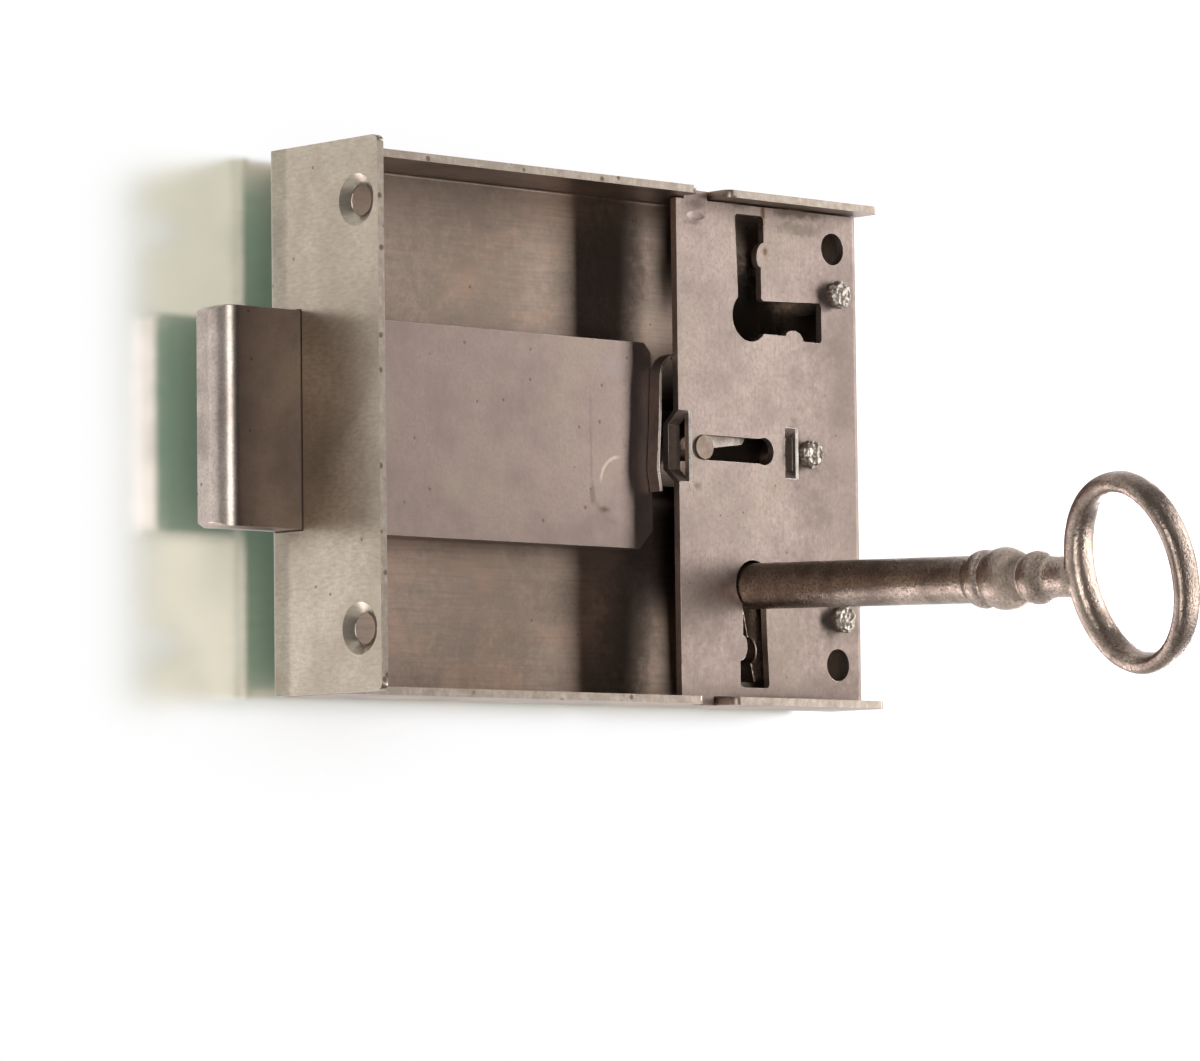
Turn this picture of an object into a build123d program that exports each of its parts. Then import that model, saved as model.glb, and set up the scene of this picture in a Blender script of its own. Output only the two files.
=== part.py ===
from build123d import *
import math
import os

os.makedirs("parts", exist_ok=True)

# The frame: X runs from the outer face of the face plate to the back end of the case,
# Y from the front of the lock towards its back plate, Z up the face plate. The origin is
# on the outer face of the face plate, midway between its two screw holes. Depths below
# are counted from the outer face of the back plate, and every piece is moved into the
# frame when it is saved. All sizes are in millimetres.

# case, folded from one sheet
sheet = 0.9
case_len = 87.0
case_high = 60.0
key_from_end = 19.0
backset = case_len - key_from_end
flange_deep = 10.3
plate_deep = 18.4
bend_r = 1.2
plate_corner_r = 0.8
fold_slit = 0.5

# screw holes in the face plate
face_hole_r = 1.7
face_sink_r = 2.85
face_sink_deep = 0.72
face_hole_in = 14.9
face_hole_rise = 23.2

# cover plate
cover_ahead = 12.0
cover_left = backset - cover_ahead
cover_out = 7.2
cover_gap = 0.2
cover_back = 0.4
cover_wall_gap = 0.15
ear_in = 1.3
ear_wide = 3.8
ear_gap = 0.4
screw_hole_r = 1.9
screw_hole_in = 5.0
screw_hole_x = case_len - screw_hole_in
screw_hole_rise = 24.8

# keyholes
key_rise = 15.8
keyhole_r = 2.95
slot_reach = 12.0
slot_neck = 1.9
slot_tip = 2.4
slot_round = 0.5
slot_bump = 0.95
bump_at = 7.4
bump_half = 1.5

# slot for the guide pin, and the two lanced bridges of the cover
pin_r = 1.4
pin_gap = 0.07
pin_proud = 0.25
pin_ahead = 8.0
pin_x = backset - pin_ahead
bridge_wide = 1.85
bridge_half = 4.15
bridge_flat = 2.6
bridge_deep = 1.75
tab_behind = 5.5
tab_x = backset + tab_behind
tab_wide = 2.0
tab_half = 3.0
tab_flat = 1.9
tab_deep = 0.75

# posts that hold the cover
post_in = 4.5
post_x = case_len - post_in
post_rise = 19.35
post_r = 2.0
post_end_r = 1.5
post_head = 1.2
rivet_gap = 0.02

# bolt
bolt_high = 24.0
bolt_throw = 11.0
bolt_travel = 10.0
bolt_float = 0.1
head_thick = 4.6
head_back = 12.0
body_thick = 3.4
body_ahead = 1.6
body_end = cover_left - body_ahead
body_bevel = 2.2
nose_r = 2.3
nose_bevel = 0.45
mouth_gap = 0.15

# bolt tail, riveted into a rebate at the end of the bolt
tail_thick = 1.5
tail_half = 7.3
tail_lap = 14.4
tail_left = body_end - tail_lap
tail_past = 5.0
tail_end = backset + tail_past
tail_fit = 0.05
talon_ahead = 12.1
talon_past = 1.3
talon_left = backset - talon_ahead
talon_right = backset + talon_past
talon_deep = 2.9
fork_gap = 0.35
tail_rivet_r = 1.5
tail_rivet_in = 7.0
tail_rivet_x = tail_left + tail_rivet_in
tail_rivet_rise = 4.2
rivet_sunk = 0.3

# tumbler, turning on the middle post
tumbler_post_behind = 9.4
tumbler_post_x = backset + tumbler_post_behind
fork_long = 12.4
fork_left = tumbler_post_x - fork_long
tumbler_thick = 0.9
tumbler_front = 5.5
hub_r = 3.1
hub_fit = 0.05
tooth_gap = 0.15
tooth_low = 0.1
tooth_high = 0.85
arm_top = 5.2
belly_low = 4.2
belly_high = 3.1
belly_long = 12.4
belly_tip = tumbler_post_x - belly_long
upper_arm_high = 10.4
upper_arm_wide = 2.2
pin_flat_gap = 0.12

# leaf spring of the tumbler, standing on edge
spring_thick = 0.4
spring_front = 6.2
spring_back = 4.5
spring_ahead = 1.8
spring_x = cover_left - spring_ahead
spring_low = 5.3
spring_top = 10.6
spring_kink = 0.6

# key
key_turned = 15.5
key_droop = 1.8
shank_r = 2.7
tip_r = 2.0
tip_gap = 0.3
tip_short = 0.15
bit_reach = 11.2
bit_neck = 1.25
bit_tip = 1.5
bit_groove = 1.15
bit_front = 5.85
bit_back = 1.35
collar_at = 42.5
collar_long = 2.5
collar_r = 3.32
ball_long = 5.45
ball_r = 3.58
groove_r = 2.48
collar2_long = 3.7
collar2_r = 3.03
neck_long = 2.7
neck_r = 2.32
neck_sunk = 1.6
bow_long = 17.05
bow_wide = 22.7
bow_hole_long = 12.8
bow_hole_wide = 18.2
bow_thick = 3.8
bow_round = 1.1
bow_shift = 0.33
bow_rise = 0.25

half_high = case_high / 2
cover_in = cover_out - sheet
cover_right = case_len - cover_back
cover_half = half_high - sheet - cover_gap
bolt_back = sheet + bolt_float
travel_end_x = pin_x + bolt_travel


def block(x0, x1, y0, y1, z0, z1):
    size = Box(x1 - x0, y1 - y0, z1 - z0)
    return Pos((x0 + x1) / 2, (y0 + y1) / 2, (z0 + z1) / 2) * size


def rod_y(x, z, r, y0, y1):
    return Pos(x, (y0 + y1) / 2, z) * (Rot(90, 0, 0) * Cylinder(r, abs(y1 - y0)))


def prism_y(points, y0, y1):
    """A flat outline of (x, z) points carried from depth y0 to depth y1."""
    edge = Polyline([(x, y0, z) for x, z in points], close=True)
    return extrude(make_face(edge), amount=y1 - y0, dir=(0, 1, 0))


def prism_x(points, x0, x1):
    """A flat outline of (y, z) points carried from x0 to x1."""
    edge = Polyline([(x0, y, z) for y, z in points], close=True)
    return extrude(make_face(edge), amount=x1 - x0, dir=(1, 0, 0))


def edges_at(solid, along, **place):
    """The straight edges that run along an axis through the given coordinates."""
    found = solid.edges().filter_by(along)
    for name, value in place.items():
        found = [e for e in found if abs(getattr(e.center(), name) - value) < 1e-4]
    return found


def radial_outline(centre, toward, points):
    """Points given as (out from the centre, to the warded side) in the front plane."""
    dx, dz = toward
    cx, cz = centre
    return [(cx + s * dx + w * dz, cz + s * dz - w * dx) for s, w in points]


def warded_outline(reach, neck, tip, groove):
    """Outline shared by the key's bit and the keyholes, with a groove on one side."""
    groove_start = bump_at - bump_half
    groove_stop = bump_at + bump_half
    plain = [(0, -neck), (groove_start, -neck - (tip - neck) * 0.4), (reach, -tip)]
    dip = []
    for i in range(9):
        a = math.pi * i / 8
        base = neck + (tip - neck) * i / 8
        dip.append((bump_at - bump_half * math.cos(a), base - groove * math.sin(a)))
    warded = [(reach, tip), (groove_stop + 0.2, tip)] + dip[::-1] + [(0, neck)]
    return plain + warded


def keyhole(z, directions):
    outline = warded_outline(slot_reach, slot_neck, slot_tip, slot_bump)
    hole = rod_y(backset, z, keyhole_r, -cover_out - 1, -cover_in + 1)
    for toward in directions:
        ring = radial_outline((backset, z), toward, outline)
        slot = prism_y(ring, -cover_out - 1, -cover_in + 1)
        tips = [e for e in slot.edges().filter_by(Axis.Y)
                if math.hypot(e.center().X - backset, e.center().Z - z) > slot_reach]
        hole += fillet(tips, slot_round)
    return hole


def make_case():
    start = bend_r + fold_slit
    front = block(0, start, -sheet, 0, -half_high, half_high)
    front += block(0, sheet, -plate_deep, 0, -half_high, half_high)
    front = fillet(edges_at(front, Axis.Z, X=0, Y=0), bend_r)
    front = fillet(edges_at(front, Axis.Z, X=sheet, Y=-sheet), bend_r - sheet)
    corners = edges_at(front, Axis.X, Y=-plate_deep)
    front = fillet(corners, plate_corner_r)
    tray = block(start, case_len, -sheet, 0, -half_high, half_high)
    for side in (-1, 1):
        z_out = side * half_high
        z_in = side * (half_high - sheet)
        low, high = min(z_out, z_in), max(z_out, z_in)
        tray += block(start, case_len, -flange_deep, 0, low, high)
    for side in (-1, 1):
        tray = fillet(edges_at(tray, Axis.X, Y=0, Z=side * half_high), bend_r)
        inner = edges_at(tray, Axis.X, Y=-sheet, Z=side * (half_high - sheet))
        tray = fillet(inner, bend_r - sheet)
    case = front + tray

    # mouth for the bolt
    mouth_front = bolt_back + head_thick + mouth_gap
    mouth_half = bolt_high / 2 + mouth_gap
    case -= block(-1, start - 0.1, -mouth_front, -sheet, -mouth_half, mouth_half)

    # countersunk screw holes in the face plate
    for side in (-1, 1):
        at = Pos(0, -face_hole_in, side * face_hole_rise)
        case -= at * (Rot(0, 90, 0) * Cylinder(face_hole_r, 4 * sheet))
        cone = Cone(face_sink_r, face_hole_r, face_sink_deep)
        case -= at * (Pos(face_sink_deep / 2, 0, 0) * (Rot(0, 90, 0) * cone))

    # holes in the back plate for the door screws, the key's tip and the posts
    for side in (-1, 1):
        case -= rod_y(screw_hole_x, side * screw_hole_rise, screw_hole_r, -2 * sheet, 1)
        case -= rod_y(backset, side * key_rise, tip_r + tip_gap, -2 * sheet, 1)
        case -= rod_y(post_x, side * post_rise, post_end_r + rivet_gap, -2 * sheet, 1)
    case -= rod_y(tumbler_post_x, 0, post_end_r + rivet_gap, -2 * sheet, 1)

    # notches in the flanges for the ears of the cover
    ear_x = cover_left + ear_in
    for side in (-1, 1):
        z0, z1 = sorted((side * (half_high - 2 * sheet), side * (half_high + 1)))
        x0, x1 = ear_x - ear_gap, ear_x + ear_wide + ear_gap
        case -= block(x0, x1, -flange_deep - 1, -cover_in, z0, z1)
    return case


def lanced(x0, wide, half, flat, deep):
    """A strip pressed inwards out of the cover, joined to it at both ends."""
    y0, y1 = -cover_out, -cover_in
    outline = [(y0, -half), (y0 + deep, -flat), (y0 + deep, flat), (y0, half),
               (y1, half), (y1 + deep, flat), (y1 + deep, -flat), (y1, -half)]
    return prism_x(outline, x0, x0 + wide)


def make_cover():
    y0, y1 = -cover_out, -cover_in
    cover = block(cover_left, cover_right, y0, y1, -cover_half, cover_half)

    # the cover's back end is folded in and closes the end of the case
    wall_left = cover_right - sheet
    cover += block(wall_left, cover_right, y0, -sheet - cover_wall_gap, -cover_half, cover_half)
    cover = fillet(edges_at(cover, Axis.Z, X=cover_right, Y=y0), bend_r)
    cover = fillet(edges_at(cover, Axis.Z, X=wall_left, Y=y1), bend_r - sheet)
    ear_x = cover_left + ear_in
    cover += block(ear_x, ear_x + ear_wide, y0, y1, -half_high, half_high)
    cover -= keyhole(key_rise, [(0, 1), (1, 0)])
    cover -= keyhole(-key_rise, [(0, -1)])

    # slot for the guide pin, a little wider at its back end
    reach = pin_r + pin_gap
    cover -= block(pin_x, travel_end_x, y0 - 1, y1 + 1, -reach, reach)
    cover -= rod_y(pin_x, 0, reach, y0 - 1, y1 + 1)
    cover -= rod_y(travel_end_x, 0, reach + 2 * pin_gap, y0 - 1, y1 + 1)

    # strip at the front edge that steadies the bolt, and strip over the tumbler
    cover -= block(cover_left - 1, cover_left + bridge_wide, y0 - 1, y1 + 1,
                   -bridge_half, bridge_half)
    cover += lanced(cover_left, bridge_wide, bridge_half, bridge_flat, bridge_deep)
    cover -= block(tab_x, tab_x + tab_wide, y0 - 1, y1 + 1, -tab_half, tab_half)
    cover += lanced(tab_x, tab_wide, tab_half, tab_flat, tab_deep)

    for side in (-1, 1):
        z = side * screw_hole_rise
        cover -= rod_y(screw_hole_x, z, screw_hole_r, y0 - 1, y1 + 1)
        cover -= rod_y(post_x, side * post_rise, post_end_r + rivet_gap, y0 - 1, y1 + 1)
    cover -= rod_y(tumbler_post_x, 0, post_end_r + rivet_gap, y0 - 1, y1 + 1)
    return cover


def staked_end(x, z):
    """The end of a post, standing out of the cover and hammered to a blunt cone."""
    face = -cover_out - post_head
    end = rod_y(x, z, post_end_r, face, -cover_in)
    rim = [e for e in end.edges() if abs(e.center().Y - face) < 1e-4]
    return chamfer(rim, 0.35)


def make_cover_posts():
    posts = []
    for side in (-1, 1):
        z = side * post_rise
        post = rod_y(post_x, z, post_r, -cover_in, -sheet)
        post += rod_y(post_x, z, post_end_r, -sheet, 0)
        post += staked_end(post_x, z)
        posts.append(post)
    return posts


def make_tumbler_post():
    step = tumbler_front - tumbler_thick
    post = rod_y(tumbler_post_x, 0, post_r, -step, -sheet)
    post += rod_y(tumbler_post_x, 0, post_end_r, -sheet, 0)
    post += rod_y(tumbler_post_x, 0, post_end_r, -cover_in, -step)
    return post + staked_end(tumbler_post_x, 0)


def make_bolt():
    half = bolt_high / 2
    head_front = -(bolt_back + head_thick)
    body_front = -(bolt_back + body_thick)
    bolt = block(-bolt_throw, head_back, head_front, -bolt_back, -half, half)
    bolt = fillet(edges_at(bolt, Axis.Z, X=-bolt_throw, Y=head_front), nose_r)
    nose = -bolt_throw
    cut = [(nose - 1, half - nose_bevel), (nose - 1, half + 1),
           (nose + 2 * nose_bevel, half + 1), (nose + 2 * nose_bevel, half),
           (nose, half - nose_bevel)]
    for side in (-1, 1):
        bolt -= prism_y([(x, side * z) for x, z in cut], head_front - 1, 0)
    body = [(head_back - 1, -half), (body_end - body_bevel, -half),
            (body_end, -half + body_bevel), (body_end, half - 0.5 * body_bevel),
            (body_end - 0.5 * body_bevel, half), (head_back - 1, half)]
    bolt += prism_y(body, body_front, -bolt_back)

    # rebate for the tail, open towards the back plate
    rebate_front = -(bolt_back + tail_thick + tail_fit)
    rebate_half = tail_half + tail_fit
    bolt -= block(tail_left - tail_fit, body_end + 1, rebate_front, 0,
                  -rebate_half, rebate_half)
    for side in (-1, 1):
        z = side * tail_rivet_rise
        bolt -= rod_y(tail_rivet_x, z, tail_rivet_r + rivet_gap, body_front + rivet_sunk, 0)
    return bolt


def make_tail():
    fork_half = post_r + fork_gap
    edge = tail_half - talon_deep
    upper = [(tail_left, tail_half), (talon_left, tail_half), (talon_left, edge),
             (talon_right, edge), (talon_right, tail_half), (tail_end, tail_half),
             (tail_end, fork_half), (fork_left, fork_half)]
    outline = upper + [(x, -z) for x, z in upper[::-1]]
    y0, y1 = -(bolt_back + tail_thick), -bolt_back
    tail = prism_y(outline, y0, y1)
    tail -= rod_y(pin_x, 0, pin_r + rivet_gap, y0 - 1, y1 + 1)
    for side in (-1, 1):
        z = side * tail_rivet_rise
        tail -= rod_y(tail_rivet_x, z, tail_rivet_r + rivet_gap, y0 - 1, y1 + 1)
    return tail


def make_tail_rivets():
    front = -(bolt_back + body_thick) + rivet_sunk
    return [rod_y(tail_rivet_x, side * tail_rivet_rise, tail_rivet_r, front, -bolt_back)
            for side in (-1, 1)]


def make_guide_pin():
    front = -(cover_out + pin_proud)
    pin = rod_y(pin_x, 0, pin_r, front, -bolt_back)
    # flat under the tumbler's tooth
    low = -tooth_low - pin_flat_gap
    y0 = -(tumbler_front + pin_flat_gap)
    y1 = -(tumbler_front - tumbler_thick - pin_flat_gap)
    return pin - block(pin_x - 2 * pin_r, pin_x + 2 * pin_r, y0, y1, low, 2 * pin_r)


def make_tumbler():
    y0, y1 = -tumbler_front, -(tumbler_front - tumbler_thick)
    left = pin_x + pin_r + tooth_gap
    right = travel_end_x - pin_r - tooth_gap
    clear = pin_r + pin_gap + 0.35
    hub_left = tumbler_post_x - hub_r
    outline = [(left, -tooth_low), (right - 0.5, tooth_high - 0.05), (right, tooth_high + 0.5),
               (right, clear + 0.1), (hub_left + 0.9, clear), (hub_left + 0.4, -clear),
               (belly_tip, -belly_high), (belly_tip, -belly_low),
               (hub_left + 1.2, -belly_low), (tumbler_post_x, -hub_r),
               (tumbler_post_x + hub_r, 0),
               (tumbler_post_x + upper_arm_wide / 2, upper_arm_high),
               (tumbler_post_x - upper_arm_wide / 2, upper_arm_high),
               (tumbler_post_x - hub_r * 0.7, arm_top * 0.75),
               (left + 3.2, arm_top), (left, arm_top)]
    lever = prism_y(outline, y0, y1) + rod_y(tumbler_post_x, 0, hub_r, y0, y1)
    return lever - rod_y(tumbler_post_x, 0, post_end_r + hub_fit, y0 - 1, y1 + 1)


def band(path, thick):
    """Closed outline of a strip that follows a path of (x, z) points."""
    left, right = [], []
    last = len(path) - 1
    for i, (x, z) in enumerate(path):
        ax, az = path[max(i - 1, 0)]
        bx, bz = path[min(i + 1, last)]
        long = math.hypot(bx - ax, bz - az)
        nx, nz = -(bz - az) / long, (bx - ax) / long
        left.append((x + nx * thick / 2, z + nz * thick / 2))
        right.append((x - nx * thick / 2, z - nz * thick / 2))
    return left + right[::-1]


def make_spring():
    """Leaf from the end of the tumbler, round a bend and down past the bolt."""
    seat_x = pin_x + pin_r + tooth_gap
    turn_r = (spring_top - arm_top) / 2
    turn_x = spring_x + turn_r
    turn_z = spring_top - turn_r
    path = [(seat_x + 3.0, arm_top + spring_thick / 2), (seat_x + 0.8, arm_top + spring_thick / 2),
            (seat_x - 0.8, arm_top + spring_thick / 2 + 0.5)]
    for i in range(9):
        a = math.radians(50 + 130 * i / 8)
        path.append((turn_x + turn_r * math.cos(a), turn_z + turn_r * math.sin(a)))
    path.append((spring_x - 0.3 * spring_kink, 3.0))
    path.append((spring_x - spring_kink, -spring_low / 2))
    path.append((spring_x - 0.2 * spring_kink, -spring_low))
    return prism_y(band(path, spring_thick), -spring_front, -spring_back)


def turned_part():
    """The two collars of the key and the ball between them, turned as one form."""
    ball_at = collar_at + collar_long
    groove_at = ball_at + ball_long
    end_at = groove_at + collar2_long
    edge = (0.95 * collar_r, -ball_at)
    groove = (groove_r, -groove_at)
    rise = shank_r + 0.62 * (collar_r - shank_r)
    collar = Spline((shank_r, -collar_at), (rise, -(collar_at + 0.35 * collar_long)),
                    (collar_r, -(collar_at + 0.8 * collar_long)), edge)
    ball = Spline(edge, (ball_r, -(ball_at + 0.38 * ball_long)),
                  (0.89 * ball_r, -(ball_at + 0.82 * ball_long)), groove)
    collar2 = Spline(groove, (collar2_r, -(groove_at + 0.5 * collar2_long)), (neck_r, -end_at))
    ends = Polyline((neck_r, -end_at), (0, -end_at), (0, -collar_at), (shank_r, -collar_at))
    return revolve(make_face([collar, ball, collar2, ends]), Axis.Y)


def make_key():
    """The key in its keyhole, turned past the slot and drooping a little."""
    a = math.radians(key_turned)
    toward = (math.sin(a), -math.cos(a))
    z = -key_rise
    outline = radial_outline((backset, z), toward,
                             warded_outline(bit_reach, bit_neck, bit_tip, bit_groove))
    key = rod_y(backset, z, shank_r, -collar_at - 0.1, -(sheet + tip_short))
    key += rod_y(backset, z, tip_r, -2 * sheet, -tip_short)
    key += prism_y(outline, -bit_front, -bit_back)
    key += Pos(backset, 0, z) * turned_part()
    at = collar_at + collar_long + ball_long + collar2_long
    bow_at = at + neck_long
    key += rod_y(backset, z, neck_r, -(bow_at + 0.1), -(at - 0.1))
    taper = Cone(neck_r, 0.45 * bow_thick, neck_sunk)
    key += Pos(backset, -(bow_at + 0.1 + neck_sunk / 2), z) * (Rot(90, 0, 0) * taper)
    middle = bow_at + bow_long / 2
    normal = (math.cos(a), 0, math.sin(a))
    mid_x, mid_z = backset - bow_rise * toward[0], z - bow_rise * toward[1]
    flat = Plane(origin=(mid_x, -middle, mid_z), x_dir=(0, -1, 0), z_dir=normal)
    ring = extrude(flat * Ellipse(bow_long / 2, bow_wide / 2), amount=bow_thick / 2, both=True)
    hole_at = Plane(origin=(mid_x, -middle - bow_shift, mid_z), x_dir=(0, -1, 0), z_dir=normal)
    ring -= extrude(hole_at * Ellipse(bow_hole_long / 2, bow_hole_wide / 2),
                    amount=bow_thick, both=True)
    thinnest = min(bow_wide - bow_hole_wide, bow_long - bow_hole_long - 2 * bow_shift) / 2
    ring = fillet(ring.edges(), min(bow_round, 0.45 * thinnest))
    key += ring
    pivot = Pos(0, -cover_out / 2, z)
    return pivot * (Rot(key_droop, 0, 0) * (Pos(0, cover_out / 2, -z) * key))


def save(name, shape):
    """Write one node, as a solid or as a group of solids."""
    solids = []
    for item in shape if isinstance(shape, list) else [shape]:
        solids.extend((Pos(0, face_hole_in, 0) * item).solids())
    result = solids[0] if len(solids) == 1 else Compound(children=solids)
    export_step(result, "parts/" + name + ".step")
    print(name, len(solids), round(sum(s.volume for s in solids), 1))


save("lock_case", make_case())
save("cover_plate", make_cover())
save("cover_posts", make_cover_posts())
save("tumbler_post", make_tumbler_post())
save("bolt_block", make_bolt())
save("bolt_tail", make_tail())
save("tail_rivets", make_tail_rivets())
save("guide_pin", make_guide_pin())
save("tumbler", make_tumbler())
save("tumbler_spring", make_spring())
save("key", make_key())
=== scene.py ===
import math

import bmesh
import bpy
from mathutils import Matrix, Vector


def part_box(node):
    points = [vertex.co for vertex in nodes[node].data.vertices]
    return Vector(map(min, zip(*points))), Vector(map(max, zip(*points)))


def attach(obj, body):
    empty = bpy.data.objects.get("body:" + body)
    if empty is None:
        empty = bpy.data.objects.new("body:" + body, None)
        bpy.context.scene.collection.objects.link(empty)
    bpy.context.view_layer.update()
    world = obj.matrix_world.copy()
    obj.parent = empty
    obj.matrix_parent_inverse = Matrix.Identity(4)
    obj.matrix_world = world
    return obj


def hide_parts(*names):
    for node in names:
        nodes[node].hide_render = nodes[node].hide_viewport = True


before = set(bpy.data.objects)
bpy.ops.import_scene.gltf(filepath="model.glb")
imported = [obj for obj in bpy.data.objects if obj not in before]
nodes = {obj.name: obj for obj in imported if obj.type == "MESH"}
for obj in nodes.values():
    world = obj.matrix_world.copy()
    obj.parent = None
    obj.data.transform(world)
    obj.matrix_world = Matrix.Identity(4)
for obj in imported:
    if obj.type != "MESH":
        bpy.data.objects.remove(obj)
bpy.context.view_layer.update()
mm = 0.001  # lengths below are in mm, those of the lamps and the camera in metres


def deselectAll():
    if bpy.context.object and bpy.context.object.mode != "OBJECT":
        bpy.ops.object.mode_set(mode="OBJECT")
    bpy.ops.object.select_all(action="DESELECT")


def makeActive(obj):
    deselectAll()
    obj.select_set(True)
    bpy.context.view_layer.objects.active = obj


def applyModifier(obj, kind, **values):
    makeActive(obj)
    mod = obj.modifiers.new(kind.title(), kind)
    for key, value in values.items():
        setattr(mod, key, value)
    bpy.ops.object.modifier_apply(modifier=mod.name)


weld = {"doubles": 0.002, "flat": 0.5}  # mm apart, degrees between faces that become one


def copyOfNode(nodeName, pieceName):
    # merged copy of a CAD node, with its flat faces whole again
    piece = bpy.data.objects.new(pieceName, nodes[nodeName].data.copy())
    bpy.context.scene.collection.objects.link(piece)
    piece.data.materials.clear()
    makeActive(piece)
    bpy.ops.object.mode_set(mode="EDIT")
    bpy.ops.mesh.select_all(action="SELECT")
    bpy.ops.mesh.remove_doubles(threshold=weld["doubles"] * mm)
    bpy.ops.mesh.dissolve_limited(angle_limit=math.radians(weld["flat"]))
    bpy.ops.mesh.select_all(action="DESELECT")
    bpy.ops.object.mode_set(mode="OBJECT")
    return piece


edgeFinish = {"segments": 2, "sharperThan": 32, "smoothTill": 40}  # angles in degrees


def softenEdges(piece, width):
    # the bevel's faces take the piece's second material
    applyModifier(piece, "BEVEL", width=width * mm, segments=edgeFinish["segments"], limit_method="ANGLE",
                  angle_limit=math.radians(edgeFinish["sharperThan"]), use_clamp_overlap=True, material=1)
    makeActive(piece)
    bpy.ops.object.shade_smooth_by_angle(angle=math.radians(edgeFinish["smoothTill"]))
    applyModifier(piece, "WEIGHTED_NORMAL", weight=100, keep_sharp=True)


def bareMaterial(name):
    material = bpy.data.materials.new(name)
    material.use_nodes = True
    tree = material.node_tree
    tree.nodes.clear()
    return material, tree, tree.nodes.new("ShaderNodeOutputMaterial")


def startMaterial(name):
    material, tree, out = bareMaterial(name)
    shader = tree.nodes.new("ShaderNodeBsdfPrincipled")
    tree.links.new(shader.outputs[0], out.inputs["Surface"])
    coord = tree.nodes.new("ShaderNodeTexCoord").outputs["Object"]
    return material, tree, shader, coord


def scaled(tree, coord, scale):
    # pattern place, with scale in waves per metre along each axis
    mapping = tree.nodes.new("ShaderNodeMapping")
    mapping.inputs["Scale"].default_value = scale
    tree.links.new(coord, mapping.inputs["Vector"])
    return mapping.outputs["Vector"]


def noiseOf(tree, coord, scale, detail=4.0, rough=0.55):
    if not isinstance(scale, tuple):
        scale = (scale, scale, scale)
    tex = tree.nodes.new("ShaderNodeTexNoise")
    tex.inputs["Scale"].default_value = 1.0
    tex.inputs["Detail"].default_value = detail
    tex.inputs["Roughness"].default_value = rough
    tree.links.new(scaled(tree, coord, scale), tex.inputs["Vector"])
    return tex.outputs["Fac"]


def stepOf(tree, value, low, high, toLow=0.0, toHigh=1.0):
    node = tree.nodes.new("ShaderNodeMapRange")
    node.interpolation_type = "SMOOTHSTEP"
    tree.links.new(value, node.inputs["Value"])
    node.inputs["From Min"].default_value = low
    node.inputs["From Max"].default_value = high
    node.inputs["To Min"].default_value = toLow
    node.inputs["To Max"].default_value = toHigh
    return node.outputs["Result"]


def mixColor(tree, factor, first, second):
    node = tree.nodes.new("ShaderNodeMix")
    node.data_type = "RGBA"
    for socket, value in ((node.inputs[0], factor), (node.inputs[6], first), (node.inputs[7], second)):
        if hasattr(value, "is_output"):
            tree.links.new(value, socket)
        elif isinstance(value, tuple):
            socket.default_value = (*value, 1.0)
        else:
            socket.default_value = value
    return node.outputs[2]


def mathOf(tree, kind, first, second=None):
    node = tree.nodes.new("ShaderNodeMath")
    node.operation = kind
    for socket, value in zip(node.inputs, (first, second)):
        if value is None:
            continue
        if hasattr(value, "is_output"):
            tree.links.new(value, socket)
        else:
            socket.default_value = value
    return node.outputs[0]


def bumpOf(tree, height, strength, distance):
    node = tree.nodes.new("ShaderNodeBump")
    node.inputs["Strength"].default_value = strength
    node.inputs["Distance"].default_value = distance * mm
    tree.links.new(height, node.inputs["Height"])
    return node.outputs["Normal"]


pitRim = {"core": 0.5, "sharp": 0.01}


def pitsOf(tree, coord, scale, share, radius):
    # small round pits, a share of the cells of a scatter having one
    cells = tree.nodes.new("ShaderNodeTexVoronoi")
    cells.inputs["Scale"].default_value = scale
    tree.links.new(coord, cells.inputs["Vector"])
    chance = tree.nodes.new("ShaderNodeSeparateColor")
    tree.links.new(cells.outputs["Color"], chance.inputs[0])
    near = stepOf(tree, cells.outputs["Distance"], radius, pitRim["core"] * radius)
    chosen = stepOf(tree, chance.outputs[0], share + pitRim["sharp"], share)
    return mathOf(tree, "MULTIPLY", near, chosen)


def placedAt(tree, coord, at, radii):
    # coordinates about a place of the piece, one unit at the radii
    mapping = tree.nodes.new("ShaderNodeMapping")
    mapping.inputs["Scale"].default_value = tuple(1 / (value * mm) for value in radii)
    mapping.inputs["Location"].default_value = tuple(-place / value for place, value in zip(at, radii))
    tree.links.new(coord, mapping.inputs["Vector"])
    length = tree.nodes.new("ShaderNodeVectorMath")
    length.operation = "LENGTH"
    tree.links.new(mapping.outputs["Vector"], length.inputs[0])
    return mapping.outputs["Vector"], length.outputs["Value"]


stainAndShadeRim = {"ragged": 1.4, "outer": 1.75, "inner": 0.95, "scale": 900.0}
arcEnds = {"from": -0.1, "to": 0.3, "deep": 100.0, "core": 0.3}


def spotOf(tree, coord, ragged, at, radii):
    # tinted patch about a place of the piece, with an uneven rim: stains, and in some looks painted shade
    far = placedAt(tree, coord, at, radii)[1]
    far = mathOf(tree, "ADD", far, mathOf(tree, "MULTIPLY", ragged, stainAndShadeRim["ragged"]))
    return stepOf(tree, far, stainAndShadeRim["outer"], stainAndShadeRim["inner"])


def arcOf(tree, coord, at, radius, width, quarter):
    # thin curved mark, a quarter round about a place
    place, far = placedAt(tree, coord, at, (radius, arcEnds["deep"], radius))
    off = mathOf(tree, "ABSOLUTE", mathOf(tree, "SUBTRACT", far, 1.0))
    near = stepOf(tree, off, width / radius, arcEnds["core"] * width / radius)
    axes = tree.nodes.new("ShaderNodeSeparateXYZ")
    tree.links.new(place, axes.inputs[0])
    for axis, sign in zip("XZ", quarter):
        inside = stepOf(tree, axes.outputs[axis], arcEnds["from"] * sign, arcEnds["to"] * sign)
        near = mathOf(tree, "MULTIPLY", near, inside)
    return near


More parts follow.
